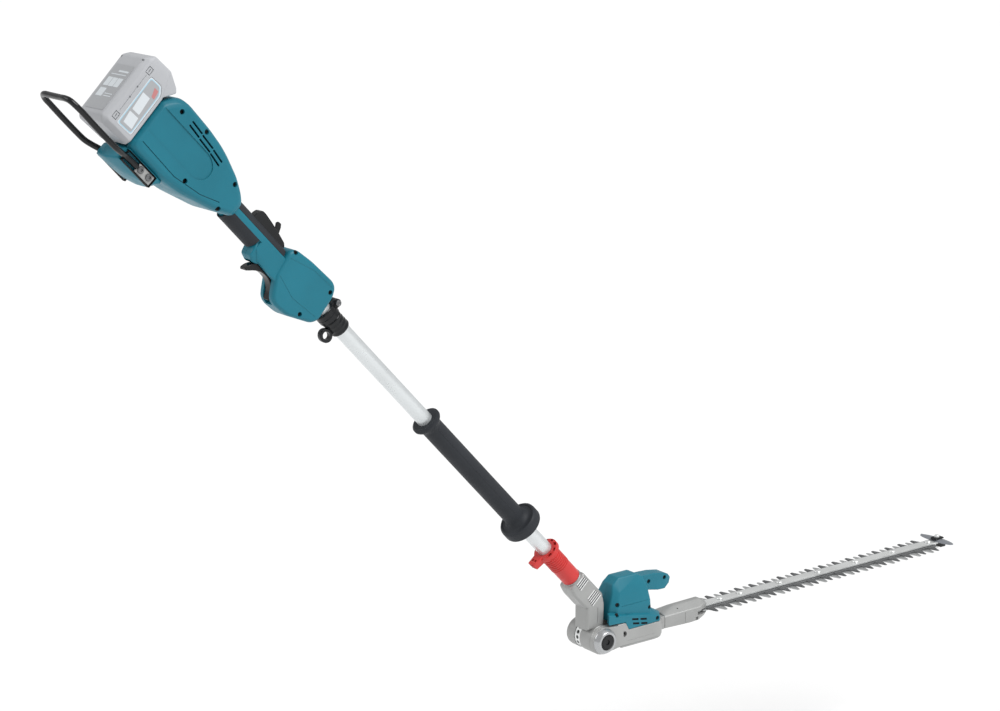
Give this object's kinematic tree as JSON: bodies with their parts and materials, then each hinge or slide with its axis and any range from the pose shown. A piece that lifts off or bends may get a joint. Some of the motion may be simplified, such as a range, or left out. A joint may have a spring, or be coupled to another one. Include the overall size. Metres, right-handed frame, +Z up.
{
  "type": "battery pole hedge trimmer",
  "caption": "Long-reach hedge trimmer: battery and control handle on a pipe, foldable motor head with a double-sided reciprocating blade.",
  "frame": {"origin": "centre of the eye of the hanger clamp on the pole", "axes": "+X along the blade away from the fold hinge, +Y to the tool's left, +Z up, with the blade level"},
  "size_m": [1.8253, 0.1032, 1.072],
  "materials": {
    "teal_plastic": "fine moulded texture",
    "grip_rubber": "soft, fine grained",
    "black_plastic": "smooth moulded",
    "grey_plastic": "moulded",
    "red_plastic": "satin moulded",
    "pipe_aluminium": "clear anodised",
    "cast_alloy": "painted die casting",
    "bright_steel": "ground",
    "dark_steel": "hardened",
    "black_rod": "black coated rod",
    "motor_core": "laminated core",
    "board": "potted board"
  },
  "bodies": {
    "handle": {"housing_right": "teal_plastic", "housing_left": "teal_plastic", "upper_grip": "grip_rubber", "lower_grip": "grip_rubber", "terminal_block": "black_plastic", "controller": "board", "switch_unit": "black_plastic", "trigger_pin": "bright_steel", "guard_loop": "black_rod", "guard_bracket_right": "cast_alloy", "guard_bracket_left": "cast_alloy", "guard_screw_right_1": "dark_steel", "guard_screw_left_1": "dark_steel", "guard_screw_right_2": "dark_steel", "guard_screw_left_2": "dark_steel", "pole_pipe": "pipe_aluminium", "power_cable": "grip_rubber", "hanger_clamp": "black_plastic", "hanger_bolt": "dark_steel", "front_grip": "grip_rubber", "neck_casting": "cast_alloy", "pin_spring": "dark_steel"},
    "battery": {"battery_case": "grey_plastic"},
    "battery_button": {"battery_button": "black_plastic"},
    "trigger": {"trigger": "black_plastic"},
    "lock_off_lever": {"lock_off_lever": "black_plastic"},
    "reverse_lever": {"reverse_lever": "black_plastic"},
    "lock_sleeve": {"lock_sleeve": "red_plastic"},
    "lock_pin": {"lock_pin": "bright_steel"},
    "head": {"index_ring": "bright_steel", "pivot_bolt": "dark_steel", "pivot_cap": "black_plastic", "gear_housing": "cast_alloy", "bottom_cover": "cast_alloy", "motor_plate": "cast_alloy", "nose_cover": "cast_alloy", "motor_housing_right": "teal_plastic", "motor_housing_left": "teal_plastic", "stator": "motor_core", "upper_bearing": "bright_steel", "lower_bearing": "bright_steel", "crank_bearing_upper": "bright_steel", "crank_bearing_lower": "bright_steel", "guide_bar": "bright_steel", "blade_bolt_1": "bright_steel", "blade_bolt_2": "bright_steel", "blade_bolt_3": "bright_steel", "blade_bolt_4": "bright_steel", "blade_bolt_5": "bright_steel", "blade_bolt_6": "bright_steel", "blade_bolt_7": "bright_steel", "tip_guard": "cast_alloy", "tip_clip": "black_plastic", "tip_bolt": "bright_steel"},
    "rotor": {"rotor": "dark_steel", "fan": "black_plastic"},
    "crank": {"crank_gear": "dark_steel"},
    "upper_blade": {"upper_blade": "dark_steel"},
    "lower_blade": {"lower_blade": "bright_steel"}
  },
  "joints": [
    {"name": "head_fold", "type": "hinge", "parent": "handle", "child": "head", "pos_m": [0.53016, 0, -0.6007], "axis": [0, 1, 0], "range_deg": [0, 135]},
    {"name": "lock_sleeve_slide", "type": "slide", "parent": "handle", "child": "lock_sleeve", "axis": [-0.6782, 0, 0.7349], "range_m": [0, 0.01], "stiffness_N_per_m": 400, "springref_m": -0.01},
    {"name": "lock_pin_lift", "type": "slide", "parent": "handle", "child": "lock_pin", "axis": [0, 0, 1], "range_m": [0, 0.006], "deforming": ["pin_spring"]},
    {"name": "trigger_pull", "type": "hinge", "parent": "handle", "child": "trigger", "pos_m": [-0.08977, 0, 0.0995], "axis": [0, 1, 0], "range_deg": [0, 10], "stiffness_Nm_per_rad": 0.6, "springref_deg": -11.46},
    {"name": "lock_off_press", "type": "hinge", "parent": "handle", "child": "lock_off_lever", "pos_m": [-0.07967, 0, 0.14827], "axis": [0, -1, 0], "range_deg": [0, 5], "stiffness_Nm_per_rad": 0.8, "springref_deg": -11.46},
    {"name": "reverse_flip", "type": "hinge", "parent": "handle", "child": "reverse_lever", "pos_m": [-0.08883, 0, 0.14935], "axis": [0, 1, 0], "range_deg": [-12, 12], "stiffness_Nm_per_rad": 0.15},
    {"name": "battery_slide", "type": "slide", "parent": "handle", "child": "battery", "axis": [0.6921, 0, 0.7218], "range_m": [0, 0.11]},
    {"name": "battery_release", "type": "slide", "parent": "battery", "child": "battery_button", "axis": [-0.6921, 0, -0.7218], "range_m": [0, 0.0035], "stiffness_N_per_m": 600, "springref_m": -0.003},
    {"name": "crank_spin", "type": "hinge", "parent": "head", "child": "crank", "pos_m": [0.62216, 0, -0.6007], "axis": [0, 0, 1], "continuous": true},
    {"name": "rotor_spin", "type": "hinge", "parent": "head", "child": "rotor", "pos_m": [0.58716, 0, -0.6007], "axis": [0, 0, 1], "continuous": true},
    {"name": "upper_blade_stroke", "type": "slide", "parent": "head", "child": "upper_blade", "axis": [1, 0, 0], "range_m": [-0.0135, 0]},
    {"name": "lower_blade_stroke", "type": "slide", "parent": "head", "child": "lower_blade", "axis": [1, 0, 0], "range_m": [0, 0.0135]}
  ],
  "couplings": [
    {"joint": "lock_pin_lift", "follows": "lock_sleeve_slide", "ratio": 0.6},
    {"joint": "lower_blade_stroke", "follows": "upper_blade_stroke", "ratio": -1},
    {"joint": "rotor_spin", "follows": "crank_spin", "ratio": -4}
  ]
}
